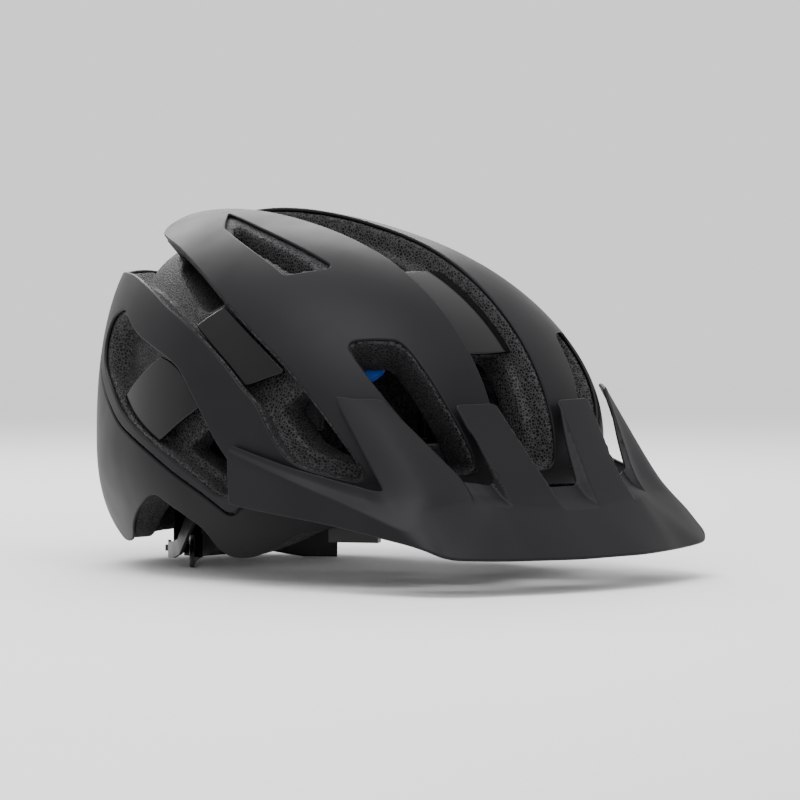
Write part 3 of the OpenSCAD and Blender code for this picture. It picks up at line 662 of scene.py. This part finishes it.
side_plate = outline(S([(29, 123.5), (16, 133.5)]), S([(16, 133.5), (-10, 119.5), (-36, 103)]),
                     S([(-36, 103), (-15, 95)]), S([(-15, 95), (-3, 104), (13, 114), (29, 123.5)]),
                     sigma=1.0)
rear_plate = outline(S([(50, 108), (83, 86)]), S([(83, 86), (60, 72.5), (44, 65.5)]),
                     S([(44, 65.5), (14, 84)]), S([(14, 84), (28, 99), (39, 105), (50, 108)]),
                     sigma=1.0)
for tag, k in (("left", 0), ("right", 1)):
    plate("side_plate_" + tag, both(side_plate)[k], 4.0, "side_bridge_" + tag)
    plate("rear_plate_" + tag, both(rear_plate)[k], 4.0, "rear_bridge_" + tag)
centre = symmetric([top(0, -33), top(17.5, -33)],
                   [top(17.5, -33), top(17.5, -60), end(17.5, 112)], [end(17.5, 112), end(0, 112)],
                   sigma=1.0)
plate("centre_plate", centre, 7.0, "centre_bridge")

# ---------------------------------------------------------------- visor
NET = np.array([
    [(0, -105.4, 86.4), (0, -134.5, 46.2), (0, -141, 37.5), (0, -162, 16.3)],
    [(21.2, -104.4, 86.5), (19.4, -133.2, 46.2), (19, -140, 37.8), (21, -161.5, 16.3)],
    [(45.2, -101, 86.8), (42.5, -128.7, 48.3), (42, -135, 40), (42, -157.5, 16.6)],
    [(61.3, -93.4, 89.3), (52.4, -124.2, 49.4), (50.5, -131.5, 41), (60, -151.5, 16.8)],
    [(76.8, -83.5, 89.8), (62, -118.3, 50), (59.5, -126.5, 41.7), (77, -146, 17.6)],
    [(84.9, -75.4, 89.9), (80, -113, 49.5), (83, -121.5, 38), (88, -139.5, 18.6)],
    [(91.4, -66.8, 90.6), (91, -99, 48), (96.5, -119, 31.5), (96, -129, 22.6)],
    [(96, -60, 86), (95, -88, 47), (102.3, -99, 37.5), (102, -105, 27)],
    [(101, -45, 84), (99.5, -70, 51), (105, -73, 45), (105.5, -76, 31.5)],
    [(104, -25, 82), (104.9, -48, 56.5), (109, -48, 53), (109.3, -50, 34.5)],
    [(107.8, -5, 80), (108.4, -15, 65.5), (110.6, -14, 63), (110.6, -15, 38)]], float)
COLS = len(NET) - 1


def bend(rows, v):
    """Polyline through the four rows with rounded bends."""
    def at(w):
        w = np.clip(w, -1, 4)
        j = np.clip(np.floor(w), 0, 2).astype(int)
        f = (w - j)[:, None]
        i = np.arange(len(j))
        return rows[i, j] * (1 - f) + rows[i, j + 1] * f

    out = at(v)
    for k, w in ((1, 0.4), (2, 0.16)):
        t = ((v - k + w) / (2 * w))[:, None]
        a, b, c = at(np.full(len(v), k - w)), at(np.full(len(v), float(k))), at(np.full(len(v), k + w))
        q = a * (1 - t) ** 2 + 2 * b * t * (1 - t) + c * t**2
        out = np.where((t > 0) & (t < 1), q, out)
    return out


def net_surface(uv):
    full = np.vstack([NET[:0:-1] * [-1, 1, 1], NET])
    full = np.vstack([2 * full[:1] - full[1:2], full, 2 * full[-1:] - full[-2:-1]])
    u = np.clip(uv[:, 0] + COLS, 0, 2 * COLS)
    i = np.clip(np.floor(u), 0, 2 * COLS - 1).astype(int)
    f = (u - i)[:, None]
    a, b, c, d = (bend(full[i + k], uv[:, 1]) for k in range(4))
    out = 0.5 * (2 * b + (c - a) * f + (2 * a - 5 * b + 4 * c - d) * f**2
                 + (3 * b - a - 3 * c + d) * f**3)
    past = (uv[:, 0] + COLS - u)[:, None]
    return out + past * (c - b)


def smooth(x):
    x = np.clip(x, 0, 1)
    return x * x * (3 - 2 * x)


RAMP_V, RAMP_END, RAMP_DEEP = 0.97, 2.0, 4.5


def ramp(uv):
    """Depth of the sloped floor below each slot and of the bevels on the prongs' sides."""
    au, v = np.abs(uv[:, 0]), uv[:, 1]
    up = np.interp(v, [-0.2, 0, RAMP_V, RAMP_END], [0.05, 0.12, 1, 0])
    wide = np.interp(v, [0, RAMP_V, RAMP_END], [0.03, 0.26, 0.05])
    depth = np.zeros(len(au))
    for inner, outer in (((-9, -9, -9), (1.0, 0.5, 0.62)), ((2.0, 2.0, 2.0), (4.0, 3.36, 3.9))):
        a = np.interp(v, [0, RAMP_V, RAMP_END], inner)
        b = np.interp(v, [0, RAMP_V, RAMP_END], outer)
        m = smooth((au - a + 0.5 * wide) / (0.5 * wide)) * smooth((b + wide - au) / wide)
        depth = np.maximum(depth, m)
    return depth * up * RAMP_DEEP


def visor_sheet(uv):
    uv = np.asarray(uv, float)
    e = 2e-3
    du = net_surface(uv + [e, 0]) - net_surface(uv - [e, 0])
    dv = net_surface(uv + [0, e]) - net_surface(uv - [0, e])
    n = np.cross(du, dv)
    n = n / np.maximum(np.linalg.norm(n, axis=1)[:, None], 1e-12)
    return net_surface(uv) + n * ramp(uv)[:, None]


half = [
    [(0, 0.97), (0.5, 0.97)], [(0.5, 0.97), (0.72, 0.5), (1.0, 0.0)], [(1.0, 0), (2.0, 0)],
    [(2.0, 0), (2.0, 0.97)], [(2.0, 0.97), (3.36, 0.97)], [(3.36, 0.97), (3.66, 0.5), (4.0, 0.0)],
    [(4.0, 0), (6.0, 0)], [(6.0, 0), (6.0, 0.6), (6.0, 1.1)],
    [(6.0, 1.1), (6.5, 1.06), (7, 1.0), (8, 1.0), (10.0, 1.0)], [(10.0, 1.0), (10.0, 3.0)],
    [(10.0, 3.0), (0, 3.0)]]


def net_outline(runs, n_u=14.0, n_v=26.0):
    w = np.array([n_u, n_v])
    runs = [np.array(r, float) * w for r in runs]
    runs += [r[::-1] * [-1, 1] for r in reversed(runs)]
    p = np.vstack([spline(r) for r in runs])
    return soften(resample(p, 0.9), 1.2, 0.9) / w


# The net is walked mirrored, so that its thickness goes inwards.
panel("visor_moulding", lambda uv: visor_sheet(uv * [-1, 1]), [net_outline(half)], "visor",
      VISOR, ((0.07, 0.04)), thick=1.9, eps=2e-3, stands=["visor"], slot="visor")

# ---------------------------------------------------------------- pads and webbing
LINER_T, PAD_T, WEB_T, STRAP_DEPTH = 27.0, 7.0, 1.4, 36.0
PAD_IN = LINER_T + 0.6


def swept(roll, sta, t):
    """Point of the master surface at a roll from the crown and a station from the front pole."""
    roll, sta = np.radians(roll), np.radians(sta)
    power = lambda v, e: np.sign(v) * np.abs(v) ** e
    c, sn = np.cos(sta), np.sin(sta)
    front = c > 0
    plan, prof = np.where(front, *N_PLAN), np.where(front, *N_SIDE)
    reach = np.where(front, FRONT_R, REAR_R) - t
    y = squeeze(MID_Y - reach * power(c, 2 / plan) + t) - t
    x = (HALF_W - t) * sn ** (2 / plan) * power(np.sin(roll), 2 / N_ROLL)
    high = np.where(np.cos(roll) > 0, CROWN_H, DEEP) - t
    z0 = high * sn ** (2 / prof) * power(np.cos(roll), 2 / N_ROLL)
    z = WAIST_Z + z0 + LEAN * (y - MID_Y) * np.clip(z0 / (CROWN_H - t), 0, 1)
    return np.stack([x, y, z], -1)


def quilt(name, point, span_u, span_v, thick, mat, node, slot, mirror=False, n=(40, 28),
          soft=0.35, stitches=(), body="helmet"):
    """Closed stuffed patch between depths 0 and thick; its rim tapers and stitch lines dent it."""
    a = np.linspace(-1, 1, n[0] + 1)
    b = np.linspace(-1, 1, n[1] + 1)
    A, B = np.meshgrid(a, b, indexing="ij")
    full = ((1 - np.abs(A) ** 8) * (1 - np.abs(B) ** 8)).clip(0) ** soft
    for along, at in stitches:
        full *= 1 - 0.28 * np.exp(-(((A if along == "u" else B) - at) / 0.05) ** 2)
    u = span_u[0] + (span_u[1] - span_u[0]) * (A + 1) / 2
    v = span_v[0] + (span_v[1] - span_v[0]) * (B + 1) / 2
    top = point(u, v, thick * (0.5 + 0.5 * full)).reshape(-1, 3)
    low = point(u, v, thick * (0.5 - 0.5 * full)).reshape(-1, 3)
    m = n[1] + 1
    count = len(top)
    rim = (np.abs(A) == 1) | (np.abs(B) == 1)
    other = np.where(rim.ravel(), np.arange(count), np.arange(count) + count)
    faces = []
    for i in range(n[0]):
        for j in range(n[1]):
            q = (i * m + j, (i + 1) * m + j, (i + 1) * m + j + 1, i * m + j + 1)
            faces += [q, tuple(other[k] for k in reversed(q))]
    verts = np.vstack([top, low])
    used = sorted({k for f in faces for k in f})
    new = {k: i for i, k in enumerate(used)}
    verts = verts[used] * ([-1, 1, 1] if mirror else [1, 1, 1])
    faces = [tuple(new[k] for k in f) for f in faces]
    ob = make(name, verts, [f[::-1] for f in faces] if mirror else faces, body, mat,
              stands=[node], slot=slot)
    return outward(ob)


def crown_at(depth):
    return lambda r, a, s: swept(r, a, depth + s)


def brow_at(a, z, s):
    p = swept(np.full_like(a, 90.0), np.abs(a), PAD_IN + s)
    return np.stack([np.sign(a) * p[..., 0], p[..., 1], z], -1)


for name, point, us, vs, mirror in (
        ("brow_pad", brow_at, (-46, 46), (50, 66), False),
        ("crown_pad_front", crown_at(PAD_IN), (-22, 22), (46, 68), False),
        ("crown_pad_rear", crown_at(PAD_IN), (-22, 22), (104, 126), False),
        ("side_pad_left", crown_at(PAD_IN), (62, 82), (60, 80), False),
        ("side_pad_right", crown_at(PAD_IN), (62, 82), (60, 80), True)):
    wide = name == "brow_pad"
    pad = quilt(name + "_knit", point, us, vs, PAD_T, PAD, name, "padding", mirror,
                n=(120, 20) if wide else (40, 32), stitches=[("v", 0.0)] if not wide else
                [("u", k) for k in (-0.5, 0.0, 0.5)])
chin_pad = quilt("chin_pad_knit", crown_at(STRAP_DEPTH + WEB_T + 0.2), (26, 56), (86.6, 98), 3.4,
                 PAD, "chin_pad", "padding", n=(60, 20), stitches=[("v", 0.0)])
for side_name, mirror in (("left", False), ("right", True)):
    quilt("chin_webbing_" + side_name, crown_at(STRAP_DEPTH), (15, 77), (87.6, 95.9), WEB_T, WEB,
          "chin_strap_" + side_name, "webbing", mirror, n=(90, 14), soft=0.12)


def tape(name, path, along, width, thick, body, mat, node, slot, mirror=False):
    """Woven strip along a path, with rounded edges."""
    p = spline(np.array(path, float), 1.5)
    t = np.gradient(p, axis=0)
    t /= np.linalg.norm(t, axis=1)[:, None]
    w = np.array(along, float) - (t @ np.array(along, float))[:, None] * t
    w /= np.linalg.norm(w, axis=1)[:, None]
    n = np.cross(t, w)
    a = np.arange(20) * 2 * math.pi / 20
    sx = np.sign(np.cos(a)) * np.abs(np.cos(a)) ** 0.25 * width / 2
    sy = np.sign(np.sin(a)) * np.abs(np.sin(a)) ** 0.5 * thick / 2
    rows = p[:, None] + sx[None, :, None] * w[:, None] + sy[None, :, None] * n[:, None]
    k, count = len(a), len(p)
    faces = [(i * k + j, i * k + (j + 1) % k, (i + 1) * k + (j + 1) % k, (i + 1) * k + j)
             for i in range(count - 1) for j in range(k)]
    faces += [tuple(range(k))[::-1], tuple((count - 1) * k + j for j in range(k))]
    verts = rows.reshape(-1, 3) * ([-1, 1, 1] if mirror else [1, 1, 1])
    return make(name, verts, [f[::-1] for f in faces] if mirror else faces, body, mat,
                stands=[node], slot=slot)


DIVIDER = np.array([68.6, 20, 68])
FRONT_END, REAR_END = np.array([61.6, -52, 36]), np.array([57.5, 86, 42])
for side_name, mirror in (("left", False), ("right", True)):
    tape("front_webbing_" + side_name, [FRONT_END - [0, 0, 9], (63.2, -44, 40), (67, -22, 52),
         (68.6, 0, 62), DIVIDER + [0, -9, 1]], (0, -0.3, 1), 13, WEB_T, "helmet", WEB,
         "front_strap_" + side_name, "webbing", mirror)
    tape("rear_webbing_" + side_name, [REAR_END - [0, 0, 5], (59.5, 79, 46), (64.5, 62, 54),
         (67.8, 42, 62), DIVIDER + [0, 9, 1]], (0, 0.3, 1), 13, WEB_T, "helmet", WEB,
         "rear_strap_" + side_name, "webbing", mirror)

# ---------------------------------------------------------------- fit cradle and its dial
CRADLE_Y, CRADLE_R, DIAL_Z, COVER_OUT = 39.0, 60.0, 16.5, 9.5
HOUSING_Y = CRADLE_Y + CRADLE_R + 2


def cradle_piece():
    half_plan = [(-49, 0), (-38, 0), (-24, 3), (24, 3), (38, 0), (49, 0), (50, 16), (40, 25),
                 (22, 31), (-22, 31), (-40, 25), (-50, 16)]
    ring = slab(circle(0, CRADLE_Y, CRADLE_R + 2, 120), 2, -1, 40)
    carve(ring, slab(circle(0, CRADLE_Y, CRADLE_R, 120), 2, -2, 41))
    outline_block = slab(half_plan, 1, 50, 150)
    boolean(ring, outline_block, "INTERSECT")
    drop(outline_block)
    for x in (-35, 35):
        carve(ring, slab(circle(x, 13, 8, ry=7), 1, 50, 150))
    carve(ring, slab(circle(0, DIAL_Z, 2.6), 1, 50, 150))
    return cast("cradle_moulding", ring, 0.5, 2, "cradle", HARD, stands=["cradle"],
                slot="retention")


def cover_piece():
    y0, y1 = HOUSING_Y - 1, HOUSING_Y + COVER_OUT
    box = slab(rounded([(-29, DIAL_Z - 14), (29, DIAL_Z - 14), (29, DIAL_Z + 14),
                        (-29, DIAL_Z + 14)], 4), 1, y0, y1)
    carve(box, block(-31, 31, y0 - 1, y1 - 0.8, DIAL_Z - 11.9, DIAL_Z + 11.9))
    carve(box, slab(circle(0, DIAL_Z, 3.05), 1, HOUSING_Y + 5, HOUSING_Y + 14))
    for k in (-1, 1):
        for z in (DIAL_Z - 20, DIAL_Z + 12.1):
            carve(box, block(min(k * 22, k * 32), max(k * 22, k * 32), y0 - 2, HOUSING_Y + 17,
                             z, z + 8))
    return cast("cover_moulding", box, 0.45, 2, "cradle", HARD, stands=["cradle_cover"],
                slot="retention")


def knob_piece(r=12.5, grips=12):
    """Scalloped knob with a dished face, turned about the Y axis."""
    n = grips * 12
    a = np.arange(n) * 2 * math.pi / n
    grip = np.clip(np.cos(grips * a) * 1.5 - 0.5, 0, 1)
    y0 = HOUSING_Y + COVER_OUT + 0.4
    profile = [(3.0, -3.0, 0), (3.0, 0.0, 0), (r - 1, 0.0, 0.6), (r - 0.3, 0.3, 1), (r, 1.0, 1),
               (r, 5.9, 1), (r - 0.3, 6.6, 1), (r - 1.1, 7.0, 0.7), (9.3, 7.0, 0), (8.5, 6.6, 0),
               (8.2, 5.7, 0), (2.0, 5.6, 0)]
    rows = []
    for radius, y, share in profile:
        rr = radius - share * 0.95 * grip
        rows.append(np.column_stack([rr * np.cos(a), np.full(n, y0 + y), DIAL_Z + rr * np.sin(a)]))
    faces = [(i * n + j, i * n + (j + 1) % n, (i + 1) * n + (j + 1) % n, (i + 1) * n + j)
             for i in range(len(rows) - 1) for j in range(n)]
    faces += [tuple(range(n))[::-1], tuple((len(rows) - 1) * n + j for j in range(n))]
    ob = make("knob_moulding", np.vstack(rows), faces, "dial", HARD, smooth=False,
              stands=["dial_knob"], slot="dial")
    outward(ob)
    ob.data.shade_smooth()
    return ob


cradle_piece()
cover_piece()
knob_piece()

# ---------------------------------------------------------------- floor, light, camera
def place(name, size, loc, aim, power, colour=(1, 1, 1)):
    data = bpy.data.lights.new(name, "AREA")
    data.shape, data.size, data.size_y, data.energy = "RECTANGLE", size[0], size[1], power
    data.color = colour
    ob = bpy.data.objects.new(name, data)
    bpy.context.scene.collection.objects.link(ob)
    ob.location = loc
    ob.rotation_mode = "QUATERNION"
    ob.rotation_quaternion = (Vector(aim) - Vector(loc)).to_track_quat("-Z", "Y")
    return ob


SKY = 1.15


def floor_finish():
    """Pale floor that fades into the studio wall far from the object."""
    mat = material("floor", (0.86, 0.86, 0.86), 0.7, bump=0.02, spec=0.1, tint=(0.88, 0.88, 0.88))
    nt = mat.node_tree
    link = nt.links.new
    co = nt.nodes.new("ShaderNodeTexCoord")
    dist = nt.nodes.new("ShaderNodeVectorMath")
    dist.operation = "LENGTH"
    link(co.outputs["Object"], dist.inputs[0])
    fade = nt.nodes.new("ShaderNodeMapRange")
    fade.interpolation_type = "SMOOTHSTEP"
    fade.inputs["From Min"].default_value = 0.45
    fade.inputs["From Max"].default_value = 2.4
    link(dist.outputs["Value"], fade.inputs["Value"])
    glow = nt.nodes.new("ShaderNodeEmission")
    glow.inputs["Strength"].default_value = SKY
    mix = nt.nodes.new("ShaderNodeMixShader")
    link(fade.outputs["Result"], mix.inputs[0])
    link(nt.nodes["Principled BSDF"].outputs[0], mix.inputs[1])
    link(glow.outputs[0], mix.inputs[2])
    link(mix.outputs[0], nt.nodes["Material Output"].inputs[0])
    return mat


half_floor = 6.0
floor = make("floor", np.array([(-1, -1, 0), (1, -1, 0), (1, 1, 0), (-1, 1, 0)]) * half_floor
             / MM - [0, 0, 0.2], [(0, 1, 2, 3)], None, floor_finish())
world = bpy.data.worlds.new("studio")
bpy.context.scene.world = world
world.use_nodes = True
world.node_tree.nodes["Background"].inputs["Color"].default_value = (1, 1, 1, 1)
world.node_tree.nodes["Background"].inputs["Strength"].default_value = SKY
place("key", (0.9, 0.6), (-0.25, -0.2, 1.1), (0, 0, 0.08), 12)
place("fill", (0.5, 0.9), (-0.9, -0.7, 0.5), (0, 0, 0.08), 4)
place("rim", (0.9, 0.4), (0.5, 0.8, 0.7), (0, 0.05, 0.1), 10)

az, el, dist = math.radians(45), math.radians(3), 3.0
target = Vector((0, CENTRE_Y * MM, 0.088))
back = Vector((-math.sin(az) * math.cos(el), -math.cos(az) * math.cos(el), math.sin(el)))
right = Vector((math.cos(az), -math.sin(az), 0))
up = back.cross(right).normalized()
cam_data = bpy.data.cameras.new("camera")
cam = bpy.data.objects.new("camera", cam_data)
bpy.context.scene.collection.objects.link(cam)
bpy.context.scene.camera = cam
cam_data.sensor_width = 36
cam_data.lens = 278
cam.rotation_mode = "QUATERNION"
cam.rotation_quaternion = (-back).to_track_quat("-Z", "Y")
cam.location = target + back * dist + right * 0.0138 - up * 0.00495
cam_data.clip_start, cam_data.clip_end = 0.1, 20
